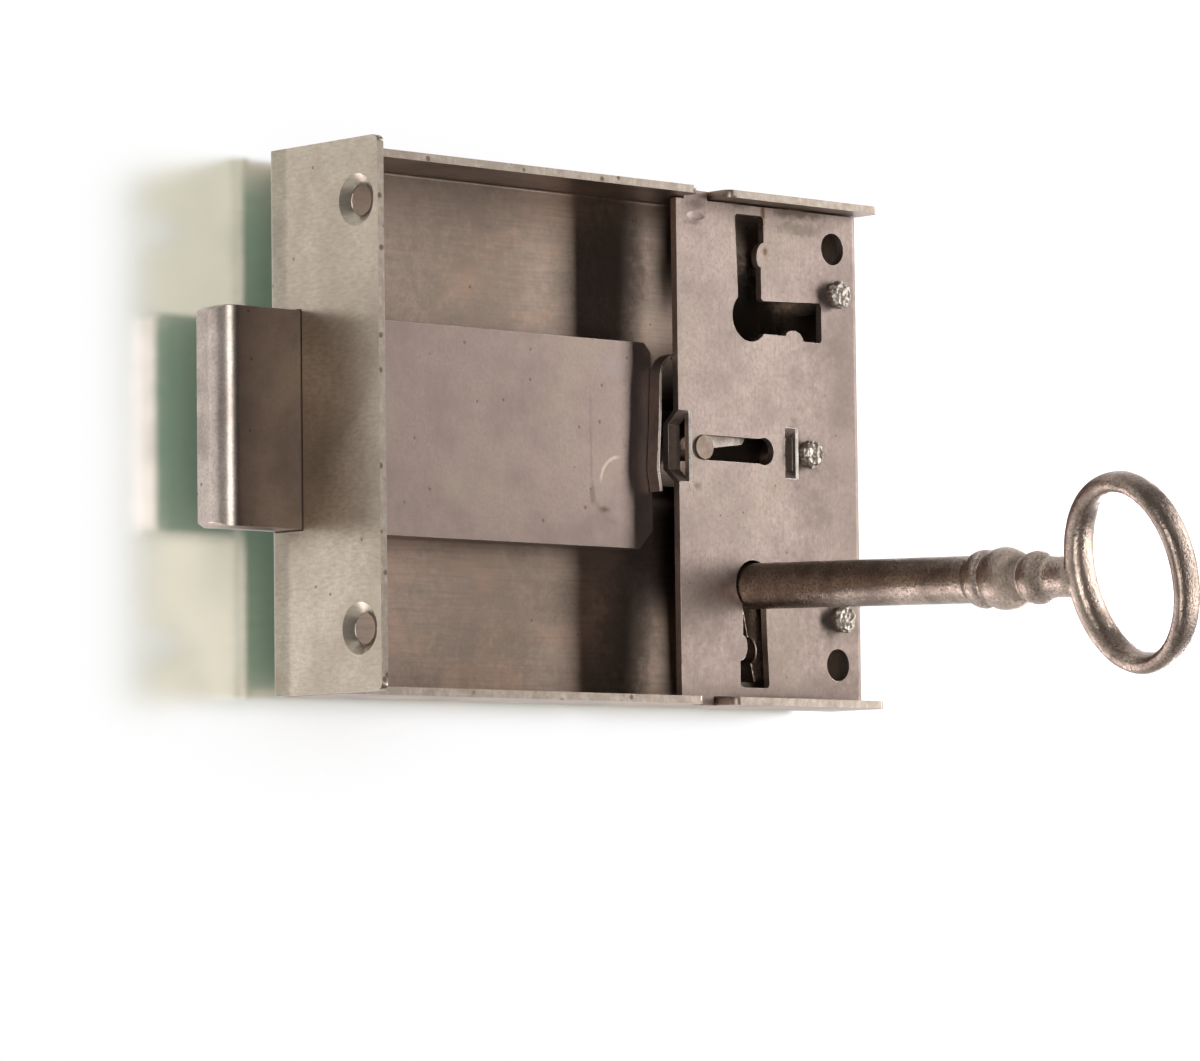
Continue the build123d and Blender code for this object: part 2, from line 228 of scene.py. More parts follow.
# the values of each noise between which it turns the tint
tintRange = {"clouds": (0.3, 0.7), "patches": (0.48, 0.68), "brushed": (0.35, 0.75), "grain": (0.35, 0.8),
             "rough": (0.25, 0.75), "edges": (0.53, 0.62)}
markDepth = {"pitRough": 0.2, "pitDeep": 0.5, "stainAndShadeRough": 0.08, "bump": 0.04}


def wornSteel(name, look):
    # iron or steel with clouded tarnish, brushing, fine grain, pits and stains
    material, tree, shader, coord = startMaterial(name)
    clouds = noiseOf(tree, coord, look["cloudScale"], 6.0, 0.62)
    patches = noiseOf(tree, coord, look["patchScale"], 4.0, 0.6)
    brushed = noiseOf(tree, coord, look["brushScale"], 3.0, 0.6)
    grain = noiseOf(tree, coord, look["grainScale"], 2.0, 0.65)
    cloudy = stepOf(tree, clouds, *tintRange["clouds"])
    color = mixColor(tree, cloudy, look["dark"], look["light"])
    patchDepth = stepOf(tree, patches, *tintRange["patches"], 0.0, look["patchDepth"])
    brushDepth = stepOf(tree, brushed, *tintRange["brushed"], 0.0, look["brushDepth"])
    rough = stepOf(tree, clouds, *tintRange["rough"], look["roughHigh"], look["roughLow"])
    zone = look.get("zone")
    if zone:
        # one end of the piece is paler and more polished than the rest
        axes = tree.nodes.new("ShaderNodeSeparateXYZ")
        tree.links.new(coord, axes.inputs[0])
        front = stepOf(tree, axes.outputs["X"], zone["till"] * mm, (zone["till"] - zone["fade"]) * mm)
        color = mixColor(tree, front, color, mixColor(tree, cloudy, zone["dark"], zone["light"]))
        patchDepth = mathOf(tree, "MULTIPLY", patchDepth, mathOf(tree, "SUBTRACT", 1.0, front))
        kept = stepOf(tree, front, 0.0, 1.0, 1.0, zone["brushed"])
        brushDepth = mathOf(tree, "MULTIPLY", brushDepth, kept)
        polished = stepOf(tree, axes.outputs["X"], zone["polishFrom"] * mm,
                          (zone["polishFrom"] - zone["polishFade"]) * mm)
        change = mathOf(tree, "SUBTRACT", zone["polish"], rough)
        rough = mathOf(tree, "ADD", rough, mathOf(tree, "MULTIPLY", change, polished))
    color = mixColor(tree, patchDepth, color, look["patchTint"])
    color = mixColor(tree, brushDepth, color, look["brushTint"])
    grainDepth = stepOf(tree, grain, *tintRange["grain"], 0.0, look["grainDepth"])
    color = mixColor(tree, grainDepth, color, look["grainTint"])
    pits = pitsOf(tree, coord, look["pitScale"], look["pitShare"], look["pitRadius"])
    color = mixColor(tree, mathOf(tree, "MULTIPLY", pits, look["pitDepth"]), color, look["pitTint"])
    rough = mathOf(tree, "ADD", rough, mathOf(tree, "MULTIPLY", pits, markDepth["pitRough"]))
    ragged = noiseOf(tree, coord, stainAndShadeRim["scale"], 4.0, 0.6)
    for at, radii, tint, depth in look.get("stainsAndShade", ()):
        tintSpot = mathOf(tree, "MULTIPLY", spotOf(tree, coord, ragged, at, radii), depth)
        color = mixColor(tree, tintSpot, color, tint)
        rough = mathOf(tree, "ADD", rough, mathOf(tree, "MULTIPLY", tintSpot, markDepth["stainAndShadeRough"]))
    for at, radius, width, quarter, tint, depth in look.get("arcs", ()):
        arc = mathOf(tree, "MULTIPLY", arcOf(tree, coord, at, radius, width, quarter), depth)
        color = mixColor(tree, arc, color, tint)
    if "worn" in look:
        # rubbed bright where the surface stands out
        shape = tree.nodes.new("ShaderNodeNewGeometry")
        rubbed = stepOf(tree, shape.outputs["Pointiness"], *tintRange["edges"], 0.0, look["worn"])
        color = mixColor(tree, rubbed, color, look["wornTint"])
    shader.inputs["Metallic"].default_value = look["metallic"]
    tree.links.new(color, shader.inputs["Base Color"])
    tree.links.new(rough, shader.inputs["Roughness"])
    height = mathOf(tree, "ADD", mathOf(tree, "MULTIPLY", brushed, look["brushHeight"]),
                    mathOf(tree, "MULTIPLY", grain, look["grainHeight"]))
    if zone and "flat" in zone:
        height = mathOf(tree, "MULTIPLY", height, stepOf(tree, front, 0.0, 1.0, 1.0, zone["flat"]))
    height = mathOf(tree, "SUBTRACT", height, mathOf(tree, "MULTIPLY", pits, markDepth["pitDeep"]))
    tree.links.new(bumpOf(tree, height, look["bump"], markDepth["bump"]), shader.inputs["Normal"])
    return material


coverLook = {
    "light": (0.385, 0.30, 0.265), "dark": (0.285, 0.225, 0.20),
    "cloudScale": (150.0, 150.0, 190.0), "patchScale": (90.0, 90.0, 110.0), "patchDepth": 0.55,
    "patchTint": (0.33, 0.275, 0.22), "brushScale": (2600.0, 500.0, 160.0), "brushDepth": 0.5,
    "brushTint": (0.27, 0.215, 0.185), "grainScale": 2400.0, "grainDepth": 0.65,
    "grainTint": (0.22, 0.165, 0.14), "pitScale": 560.0, "pitShare": 0.22, "pitRadius": 0.1,
    "pitDepth": 0.55, "pitTint": (0.09, 0.06, 0.045), "roughLow": 0.44, "roughHigh": 0.54,
    "metallic": 0.98, "bump": 0.3, "brushHeight": 0.4, "grainHeight": 0.5,
    "stainsAndShade": (
        ((70.3, 7.7, 27.7), (0.5, 2.0, 2.6), (0.13, 0.06, 0.02), 0.9),
        ((70.6, 7.7, 23.6), (0.5, 2.0, 0.7), (0.15, 0.08, 0.04), 0.8),
        ((76.0, 7.7, 28.9), (6.5, 2.0, 1.3), (0.12, 0.085, 0.06), 0.9),
        ((76.5, 7.7, 26.7), (5.0, 2.0, 1.1), (0.16, 0.125, 0.10), 0.6),
        ((66.2, 7.7, 29.0), (2.6, 2.0, 0.9), (0.14, 0.10, 0.08), 0.55),
        ((59.4, 7.7, 28.4), (1.6, 2.0, 0.7), (0.17, 0.13, 0.11), 0.5),
        ((58.9, 7.7, 26.2), (1.7, 2.0, 0.45), (0.15, 0.12, 0.10), 0.6),
        ((75.0, 7.7, 0.0), (1.5, 2.0, 4.6), (0.13, 0.10, 0.08), 0.6),
        ((73.3, 7.7, 0.2), (0.6, 2.0, 2.2), (0.10, 0.08, 0.07), 0.5),
        # painted shadow: the three darker patches left of the posts, where the posts' shadows fall on the
        # cover
        ((80.6, 7.7, 19.0), (1.6, 2.0, 1.9), (0.12, 0.09, 0.08), 0.75),
        ((78.0, 7.7, 0.0), (2.0, 2.0, 2.3), (0.12, 0.09, 0.08), 0.75),
        ((80.7, 7.7, -19.6), (1.6, 2.0, 1.9), (0.12, 0.09, 0.08), 0.75),
        ((59.0, 7.7, -4.6), (0.8, 2.0, 0.6), (0.15, 0.10, 0.07), 0.6),
        ((72.0, 7.7, -29.0), (9.0, 2.0, 0.6), (0.18, 0.14, 0.11), 0.6),
        ((86.0, 7.7, 2.0), (14.0, 4.0, 46.0), (0.19, 0.145, 0.125), 0.5),
        ((72.0, 7.7, -34.0), (30.0, 4.0, 24.0), (0.19, 0.145, 0.12), 0.45),
    ),
}
coverSteel = wornSteel("coverSteel", coverLook)
# rims rubbed bright and made paler still as painted edge highlights, and the sheet's cut edges
rubbedEdgeAndHighlightLook = dict(coverLook, light=(0.86, 0.80, 0.74), dark=(0.55, 0.49, 0.43), patchDepth=0.1,
                cloudScale=(500.0, 500.0, 500.0), grainDepth=0.5, grainScale=1500.0, roughLow=0.24,
                roughHigh=0.36, pitShare=0.6, pitDepth=0.75, pitRadius=0.24, bump=0.25, stainsAndShade=())
rubbedEdgeAndHighlight = wornSteel("rubbedEdgeAndHighlight", rubbedEdgeAndHighlightLook)
cutLook = dict(rubbedEdgeAndHighlightLook, light=(0.45, 0.385, 0.32), dark=(0.27, 0.225, 0.18), roughLow=0.36,
               roughHigh=0.5)
cutEdge = wornSteel("cutEdge", cutLook)

caseLook = {
    "light": (0.37, 0.27, 0.217), "dark": (0.222, 0.165, 0.13),
    "zone": {"till": 1.05, "fade": 0.3, "light": (0.435, 0.39, 0.305), "dark": (0.31, 0.27, 0.21),
             "polishFrom": 1.05, "polishFade": 0.3, "polish": 0.29, "flat": 0.25, "brushed": 0.85},
    "cloudScale": (90.0, 120.0, 110.0), "patchScale": (75.0, 90.0, 150.0), "patchDepth": 0.6,
    "patchTint": (0.42, 0.265, 0.185), "brushScale": (150.0, 900.0, 3000.0), "brushDepth": 0.45,
    "brushTint": (0.17, 0.135, 0.115), "grainScale": 2300.0, "grainDepth": 0.5,
    "grainTint": (0.30, 0.25, 0.20), "pitScale": 420.0, "pitShare": 0.35, "pitRadius": 0.11,
    "pitDepth": 0.6, "pitTint": (0.09, 0.065, 0.05), "roughLow": 0.35, "roughHigh": 0.44,
    "metallic": 1.0, "bump": 0.2, "brushHeight": 0.6, "grainHeight": 0.3,
    "stainsAndShade": (
        ((0.0, 14.2, 27.5), (2.4, 2.4, 2.4), (0.34, 0.30, 0.22), 0.5),
        ((0.0, 13.8, -28.4), (2.4, 2.4, 1.6), (0.34, 0.27, 0.19), 0.5),
        ((0.0, -2.4, 20.0), (2.2, 1.6, 4.0), (0.34, 0.29, 0.22), 0.45),
        ((0.0, -2.8, -21.0), (2.6, 2.0, 3.4), (0.36, 0.31, 0.23), 0.4),
        # painted shade on the back plate: near black under the cover's upper part, and darker patches where
        # the cover's shadow falls beside its left edge
        ((73.5, 14.0, 17.0), (9.0, 0.6, 9.5), (0.05, 0.04, 0.03), 0.9),
        ((52.0, 14.0, 21.0), (7.0, 0.6, 11.0), (0.11, 0.08, 0.062), 0.7),
        ((53.0, 14.0, -22.0), (6.5, 0.6, 11.0), (0.11, 0.08, 0.06), 0.65),
        ((30.0, 14.0, 0.0), (16.0, 0.6, 60.0), (0.12, 0.09, 0.07), 0.4),
    ),
}
caseSteel = wornSteel("caseSteel", caseLook)

boltLook = {
    "light": (0.325, 0.245, 0.21), "dark": (0.22, 0.165, 0.143),
    "zone": {"till": -8.8, "fade": 1.2, "light": (0.66, 0.57, 0.50), "dark": (0.39, 0.33, 0.285),
             "polishFrom": -8.0, "polishFade": 0.8, "polish": 0.35, "brushed": 1.0},
    "cloudScale": (130.0, 130.0, 150.0), "patchScale": (80.0, 80.0, 100.0), "patchDepth": 0.5,
    "patchTint": (0.33, 0.265, 0.205), "brushScale": (1100.0, 1100.0, 420.0), "brushDepth": 0.3,
    "brushTint": (0.29, 0.235, 0.215), "grainScale": 3000.0, "grainDepth": 0.45,
    "grainTint": (0.21, 0.165, 0.145), "pitScale": 520.0, "pitShare": 0.35, "pitRadius": 0.14,
    "pitDepth": 0.6, "pitTint": (0.11, 0.08, 0.065), "roughLow": 0.36, "roughHigh": 0.46,
    "metallic": 0.98, "bump": 0.3, "brushHeight": 0.3, "grainHeight": 0.7,
    "stainsAndShade": (
        ((44.6, 10.5, 0.5), (0.28, 2.0, 7.0), (0.20, 0.15, 0.13), 0.7),
        ((44.8, 10.5, -6.0), (0.5, 2.0, 1.6), (0.15, 0.11, 0.09), 0.8),
        ((46.6, 10.5, -7.7), (1.1, 2.0, 0.5), (0.11, 0.07, 0.055), 0.85),
        # painted shade: the body's right end darker, softening the edge of the cover's shadow there
        ((53.2, 10.5, 0.0), (3.6, 3.0, 26.0), (0.16, 0.125, 0.115), 0.55),
        ((46.0, 10.5, 2.4), (0.3, 2.0, 0.4), (0.10, 0.07, 0.06), 0.8),
        ((42.8, 10.5, 1.6), (0.3, 2.0, 0.3), (0.10, 0.07, 0.06), 0.8),
        ((42.0, 10.5, -3.0), (0.25, 2.0, 0.25), (0.10, 0.07, 0.06), 0.8),
        ((43.6, 10.5, -7.6), (0.3, 2.0, 0.3), (0.10, 0.07, 0.06), 0.8),
        ((48.4, 10.5, 9.0), (3.0, 2.0, 1.6), (0.26, 0.22, 0.21), 0.4),
    ),
    "arcs": (
        ((49.2, 10.5, -4.6), 3.1, 0.28, (-1, 1), (0.66, 0.53, 0.44), 0.45),
        ((49.2, 10.5, -4.6), 4.6, 0.35, (-1, -1), (0.20, 0.15, 0.13), 0.6),
    ),
}
boltIron = wornSteel("boltIron", boltLook)
boltEdgeLook = dict(boltLook, light=(0.62, 0.55, 0.5), dark=(0.36, 0.31, 0.28), roughLow=0.26)
boltEdge = wornSteel("boltEdge", boltEdgeLook)
plainIron = {key: value for key, value in boltLook.items() if key not in ("zone", "stainsAndShade", "arcs")}

keyLook = dict(plainIron, light=(0.50, 0.395, 0.325), dark=(0.23, 0.175, 0.14),
               cloudScale=(260.0, 260.0, 260.0), patchScale=(120.0, 120.0, 120.0),
               patchTint=(0.55, 0.45, 0.38), brushDepth=0.0, brushHeight=0.0, grainScale=3700.0,
               grainDepth=0.9, grainTint=(0.12, 0.09, 0.072), grainHeight=1.7, pitShare=0.5,
               pitScale=1100.0, pitRadius=0.2, pitDepth=0.5, bump=1.0, worn=0.3,
               wornTint=(0.66, 0.55, 0.46), roughLow=0.24, roughHigh=0.34,
               stainsAndShade=(((68.0, -34.2, -17.2), (6.0, 4.6, 6.0), (0.76, 0.60, 0.49), 0.33),
                       ((68.0, -43.4, -17.2), (7.0, 2.6, 9.0), (0.66, 0.54, 0.45), 0.2),
                       ((68.0, -60.0, -17.5), (7.0, 4.6, 11.0), (0.22, 0.17, 0.14), 0.6)))
keyIron = wornSteel("keyIron", keyLook)
postLook = dict(keyLook, light=(0.60, 0.53, 0.46), dark=(0.30, 0.25, 0.21),
                cloudScale=(1300.0, 1300.0, 1300.0), grainScale=2600.0, grainDepth=0.6, bump=0.7,
                grainHeight=1.2, roughLow=0.42, roughHigh=0.55, stainsAndShade=(), worn=0.6,
                wornTint=(0.84, 0.78, 0.71))
postSteel = wornSteel("postSteel", postLook)
leverLook = dict(coverLook, light=(0.62, 0.54, 0.48), dark=(0.42, 0.36, 0.32), stainsAndShade=())
leverSteel = wornSteel("leverSteel", leverLook)
springLook = dict(coverLook, light=(0.34, 0.28, 0.25), dark=(0.22, 0.18, 0.16), roughLow=0.26, stainsAndShade=())
springSteel = wornSteel("springSteel", springLook)
pinLook = dict(coverLook, light=(0.255, 0.18, 0.145), dark=(0.13, 0.078, 0.05),
               cloudScale=(900.0, 900.0, 900.0), stainsAndShade=())
pinSteel = wornSteel("pinSteel", pinLook)
print("materials mixed")

slotMaterials = {
    "lock_case": caseSteel, "cover_plate": coverSteel, "cover_posts": postSteel,
    "tumbler_post": postSteel, "bolt_block": boltIron, "bolt_tail": caseSteel,
    "tail_rivets": postSteel, "guide_pin": pinSteel, "tumbler": leverSteel,
    "tumbler_spring": springSteel, "key": keyIron,
}
for nodeName, material in slotMaterials.items():
    data = nodes[nodeName].data
    data.materials.clear()
    data.materials.append(material)
print("CAD nodes dressed")

# sheet and block pieces: rounded edges, rubbed bright, the sheets' edges paler still as painted highlights
flangeEnds = {"corner": 1.0, "segments": 5, "before": 5.0, "from": 3.0, "longest": 1.2, "upright": 0.98}
coverDent = {"at": (59.2, 7.7, 27.0), "radii": (2.3, 0.4, 0.9), "sunk": 0.09, "segments": 48, "rings": 24}
rubbedEdges = {"at": (57.85, 75.5), "outer": 7.7, "reach": (4.15, 3.0), "width": 0.36,
               "slopeOut": (-0.8, -0.6), "slopeAside": 0.6}


def roundFlangeEnds(piece):
    # the corners at the ends of the two flanges
    makeActive(piece)
    bpy.ops.object.mode_set(mode="EDIT")
    bpy.ops.mesh.select_all(action="DESELECT")
    bpy.ops.mesh.select_mode(type="EDGE")
    mesh = bmesh.from_edit_mesh(piece.data)
    for edge in mesh.edges:
        first, second = (vertex.co for vertex in edge.verts)
        span = second - first
        upright = abs(span.z) > flangeEnds["upright"] * span.length
        short = span.length < flangeEnds["longest"] * mm
        place = (first + second) / 2
        if upright and short and place.y < flangeEnds["before"] * mm and place.x > flangeEnds["from"] * mm:
            edge.select_set(True)
    bmesh.update_edit_mesh(piece.data)
    bpy.ops.mesh.bevel(offset=flangeEnds["corner"] * mm, segments=flangeEnds["segments"], affect="EDGES")
    bpy.ops.object.mode_set(mode="OBJECT")


def pressDent(piece):
    # shallow oval dent beside the cover's left edge
    deselectAll()
    x, y, z = (value * mm for value in coverDent["at"])
    radii = [value * mm for value in coverDent["radii"]]
    bpy.ops.mesh.primitive_uv_sphere_add(segments=coverDent["segments"], ring_count=coverDent["rings"],
                                         radius=1.0, location=(x, y - radii[1] + coverDent["sunk"] * mm, z))
    press = bpy.context.object
    press.scale = radii
    bpy.ops.object.transform_apply(location=True, rotation=True, scale=True)
    applyModifier(piece, "BOOLEAN", operation="DIFFERENCE", object=press, solver="EXACT")
    bpy.data.objects.remove(press)


def rubEdges(piece):
    # the cover's worn edge beside each lanced strip, cut by a bar set on its corner
    for x, reach in zip(rubbedEdges["at"], rubbedEdges["reach"]):
        deselectAll()
        place = (x * mm, rubbedEdges["outer"] * mm, 0.0)
        bpy.ops.mesh.primitive_cube_add(size=1.0, location=place)
        bar = bpy.context.object
        bar.scale = (rubbedEdges["width"] * mm, rubbedEdges["width"] * mm, 2 * reach * mm)
        bar.rotation_euler.z = math.radians(45)
        bpy.ops.object.transform_apply(location=True, rotation=True, scale=True)
        applyModifier(piece, "BOOLEAN", operation="DIFFERENCE", object=bar, solver="EXACT")
        bpy.data.objects.remove(bar)
    low, high = rubbedEdges["slopeOut"]
    for face in piece.data.polygons:
        # the sloping faces that the bar has left take the rubbed edge material, with its painted highlight
        if low < face.normal.y < high and abs(face.normal.x) > rubbedEdges["slopeAside"]:
            face.material_index = 1


cutFaces = {"facing": -0.9, "before": 5.0}  # the flanges' front edges

edgedPieces = {
    "caseSheet": {"node": "lock_case", "body": "case", "slot": "case_steel", "width": 0.13,
                  "edge": rubbedEdgeAndHighlight},
    "coverSheet": {"node": "cover_plate", "body": "case", "slot": "cover_steel", "width": 0.13,
                   "edge": rubbedEdgeAndHighlight},
    "boltBlock": {"node": "bolt_block", "body": "bolt", "slot": "bolt_iron", "width": 0.22,
                  "edge": boltEdge},
    "boltTail": {"node": "bolt_tail", "body": "bolt", "slot": "tail_steel", "width": 0.08,
                 "edge": boltEdge},
    "tumblerLever": {"node": "tumbler", "body": "tumbler", "slot": "tumbler_steel", "width": 0.08,
                     "edge": rubbedEdgeAndHighlight},
    "springLeaf": {"node": "tumbler_spring", "body": "tumbler", "slot": "spring_steel", "width": 0.06,
                   "edge": rubbedEdgeAndHighlight},
    "guidePin": {"node": "guide_pin", "body": "bolt", "slot": "bolt_iron", "width": 0.15,
                 "edge": boltEdge},
}
for pieceName, values in edgedPieces.items():
    piece = copyOfNode(values["node"], pieceName)
    piece.data.materials.append(slotMaterials[values["node"]])
    piece.data.materials.append(values["edge"])
    piece.data.materials.append(cutEdge)
    if pieceName == "caseSheet":
        roundFlangeEnds(piece)
        for face in piece.data.polygons:
            if face.normal.y < cutFaces["facing"] and face.center.y < cutFaces["before"] * mm:
                face.material_index = 2
    if pieceName == "coverSheet":
        rubEdges(piece)
        pressDent(piece)
    softenEdges(piece, values["width"])
    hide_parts(values["node"])
    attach(piece, values["body"])
    print(pieceName, len(piece.data.polygons))


# key: turned shank, ball and collars, ring bow, and the bit of the CAD key, cast as one
keyForm = {
    "axis": (68.0, -15.8), "pivot": 11.3, "droop": 1.8, "turned": 15.5, "wall": 14.9, "steps": 96,
    "profile": (  # radius, and distance out from the back plate's outer side
        (2.0, 0.15), (2.0, 1.05), (2.7, 1.06), (2.7, 10.0), (2.7, 20.0), (2.7, 30.0), (2.7, 42.4),
        (2.86, 42.55), (3.08, 42.9), (3.27, 43.4), (3.34, 44.0), (3.3, 44.5), (3.12, 44.86),
        (2.98, 45.06), (3.14, 45.35), (3.36, 45.8), (3.52, 46.4), (3.58, 47.1), (3.52, 47.9),
        (3.34, 48.7), (3.02, 49.5), (2.66, 50.15), (2.46, 50.45), (2.62, 50.72), (2.9, 51.1),
        (3.04, 51.7), (3.03, 52.3), (2.88, 52.9), (2.6, 53.5), (2.38, 53.95), (2.3, 54.4),
        (2.3, 56.9), (2.1, 57.6), (1.75, 58.4),
    ),
    "bow": {"middle": 65.375, "out": (8.525, 11.35), "hole": (6.4, 9.1), "shift": 0.33, "half": 1.9,
            "rise": 0.25, "round": 2.5, "around": 160, "across": 32, "startRadius": 10.0},
    "bitFrom": 5.4, "voxel": 0.18, "smooth": {"factor": 0.5, "iterations": 1},
    "layers": (("CLOUDS", 1.6, 0.025), ("CLOUDS", 0.5, 0.02)),  # kind, size and strength
}


def turnShank():
    # the profile drawn point by point and spun round the key's axis
    x, z = keyForm["axis"]
    deselectAll()
    bpy.ops.mesh.primitive_plane_add(size=mm, location=(x * mm, 0.0, z * mm))
    shank = bpy.context.object
    shank.name = "keyBody"
    bpy.ops.object.transform_apply(location=True, rotation=True, scale=True)
    bpy.ops.object.mode_set(mode="EDIT")
    bpy.ops.mesh.select_mode(type="VERT")
    bpy.ops.mesh.select_all(action="SELECT")
    bpy.ops.mesh.merge(type="CENTER")
    ends = ((0.0, keyForm["profile"][0][1]), *keyForm["profile"], (0.0, keyForm["profile"][-1][1]))
    last = Vector((x * mm, (keyForm["wall"] - ends[0][1]) * mm, z * mm))
    bpy.ops.transform.translate(value=(0.0, last.y, 0.0))
    for radius, out in ends[1:]:
        point = Vector(((x + radius) * mm, (keyForm["wall"] - out) * mm, z * mm))
        bpy.ops.mesh.extrude_region_move(TRANSFORM_OT_translate={"value": point - last})
        last = point
    bpy.ops.mesh.select_all(action="SELECT")
    bpy.ops.mesh.spin(steps=keyForm["steps"], angle=math.tau, center=(x * mm, 0.0, z * mm),
                      axis=(0, 1, 0))
    bpy.ops.mesh.select_all(action="SELECT")
    bpy.ops.mesh.remove_doubles(threshold=weld["doubles"] * mm)
    bpy.ops.mesh.normals_make_consistent(inside=False)
    bpy.ops.object.mode_set(mode="OBJECT")
    return shank


def bendBow():
    # a torus drawn out to the oval bow, with the limb's width and soft square section
    bow = keyForm["bow"]
    x, z = keyForm["axis"]
    turned = math.radians(keyForm["turned"])
    toward = Vector((math.sin(turned), 0.0, -math.cos(turned)))
    normal = Vector((math.cos(turned), 0.0, math.sin(turned)))
    middle = Vector((x, keyForm["wall"] - bow["middle"], z)) - bow["rise"] * toward
    deselectAll()
    bpy.ops.mesh.primitive_torus_add(major_segments=bow["around"], minor_segments=bow["across"],
                                     major_radius=bow["startRadius"], minor_radius=1.0)
    ring = bpy.context.object
    ring.name = "keyBow"
    for vertex in ring.data.vertices:
        away = Vector((vertex.co.x, vertex.co.y))
        along = away.normalized()
        inOut, side = away.length - bow["startRadius"], vertex.co.z
        inOut = math.copysign(abs(inOut) ** (2 / bow["round"]), inOut)
        side = math.copysign(abs(side) ** (2 / bow["round"]), side)
        rim = Vector((along.x * bow["out"][0], along.y * bow["out"][1]))
        hole = Vector((along.x * bow["hole"][0] + bow["shift"], along.y * bow["hole"][1]))
        place = (rim + hole) / 2 + (rim - hole) / 2 * inOut
        vertex.co = (middle + Vector((0.0, -place.x, 0.0)) + place.y * toward
                     + side * bow["half"] * normal) * mm
    makeActive(ring)
    bpy.ops.object.mode_set(mode="EDIT")
    bpy.ops.mesh.select_all(action="SELECT")
    bpy.ops.mesh.normals_make_consistent(inside=False)
    bpy.ops.object.mode_set(mode="OBJECT")
    return ring


def cutBit():
    # the bit is what the CAD key has behind the cutting plane
    bit = copyOfNode("key", "keyBit")
    makeActive(bit)
    bpy.ops.object.mode_set(mode="EDIT")
    bpy.ops.mesh.select_all(action="SELECT")
    bpy.ops.mesh.bisect(plane_co=(0.0, keyForm["bitFrom"] * mm, 0.0), plane_no=(0.0, -1.0, 0.0),
                        use_fill=True, clear_outer=True)
    bpy.ops.object.mode_set(mode="OBJECT")
    return bit


keyBody = turnShank()
bow = bendBow()
pivot = Vector((keyForm["axis"][0], keyForm["pivot"], keyForm["axis"][1])) * mm
droop = (Matrix.Translation(pivot) @ Matrix.Rotation(math.radians(keyForm["droop"]), 4, "X")
         @ Matrix.Translation(-pivot))
for part in (keyBody, bow):
    part.data.transform(droop)
bit = cutBit()
deselectAll()
for part in (keyBody, bow, bit):
    part.select_set(True)
bpy.context.view_layer.objects.active = keyBody
bpy.ops.object.join()
keyBody.data.remesh_voxel_size = keyForm["voxel"] * mm
bpy.ops.object.voxel_remesh()
applyModifier(keyBody, "SMOOTH", **keyForm["smooth"])
for kind, size, strength in keyForm["layers"]:
    pattern = bpy.data.textures.new("keyBody" + kind + str(size), kind)
    pattern.noise_scale = size * mm
    applyModifier(keyBody, "DISPLACE", texture=pattern, texture_coords="LOCAL", mid_level=0.5,
                  strength=strength * mm)
bpy.ops.object.shade_smooth()
keyBody.data.materials.clear()
keyBody.data.materials.append(keyIron)
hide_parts("key")
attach(keyBody, "key")
print("key cast", len(keyBody.data.polygons))

# the posts' hammered ends
stakedHead = {"from": 7.75, "fade": 0.5, "wider": 1.09, "voxel": 0.1, "postRadius": 2.0, "smoothTill": 25,
              "layers": (("VORONOI", 0.7, 0.4), ("CLOUDS", 0.4, 0.2))}
for nodeName, pieceName in (("cover_posts", "coverPosts"), ("tumbler_post", "tumblerPost")):
    piece = copyOfNode(nodeName, pieceName)
    makeActive(piece)
    piece.data.remesh_voxel_size = stakedHead["voxel"] * mm
    bpy.ops.object.voxel_remesh()
    head = piece.vertex_groups.new(name="head")
    low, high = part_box(nodeName)
    middle = (low + high) / 2
    headRise = high.z - middle.z - stakedHead["postRadius"] * mm
    for vertex in piece.data.vertices:
        out = (stakedHead["from"] * mm - vertex.co.y) / (stakedHead["fade"] * mm)
        if out > 0:
            head.add([vertex.index], min(1.0, out), "REPLACE")
            rise = middle.z + (headRise if vertex.co.z > middle.z else -headRise)
            wider = 1 + (stakedHead["wider"] - 1) * min(1.0, out)
            vertex.co.x = middle.x + (vertex.co.x - middle.x) * wider
            vertex.co.z = rise + (vertex.co.z - rise) * wider
    for kind, size, strength in stakedHead["layers"]:
        pattern = bpy.data.textures.new(pieceName + kind, kind)
        pattern.noise_scale = size * mm
        applyModifier(piece, "DISPLACE", texture=pattern, texture_coords="LOCAL", mid_level=0.5,
                      strength=strength * mm, vertex_group=head.name)
    makeActive(piece)
    bpy.ops.object.shade_smooth_by_angle(angle=math.radians(stakedHead["smoothTill"]))
    piece.data.materials.append(postSteel)
    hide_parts(nodeName)
    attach(piece, "case")
    print(pieceName, len(piece.data.polygons))


# strengths that plain and shiny surfaces meet in each direction
studio = {"diffuse": 0.24, "front": 0.008, "back": 0.8, "above": 0.24, "left": 0.35,
          "backFrom": (-0.25, 0.35), "aboveFrom": (0.25, 0.85), "leftFrom": (-0.5, -0.8)}
world = bpy.data.worlds.new("studio")
bpy.context.scene.world = world
world.use_nodes = True
world.cycles.sampling_method = "NONE"  # the world looks different to each kind of ray
tree = world.node_tree
tree.nodes.clear()
out = tree.nodes.new("ShaderNodeOutputWorld")
lit = tree.nodes.new("ShaderNodeBackground")
lit.inputs["Color"].default_value = (1.0, 1.0, 1.0, 1.0)
tree.links.new(lit.outputs[0], out.inputs[0])
direction = tree.nodes.new("ShaderNodeSeparateXYZ")
tree.links.new(tree.nodes.new("ShaderNodeTexCoord").outputs["Generated"], direction.inputs[0])
path = tree.nodes.new("ShaderNodeLightPath")
room = stepOf(tree, direction.outputs["Y"], *studio["backFrom"], studio["front"], studio["back"])
throughSheet = mathOf(tree, "GREATER_THAN", path.outputs["Transparent Depth"], 0.5)
steep = mathOf(tree, "ABSOLUTE", direction.outputs["Z"])
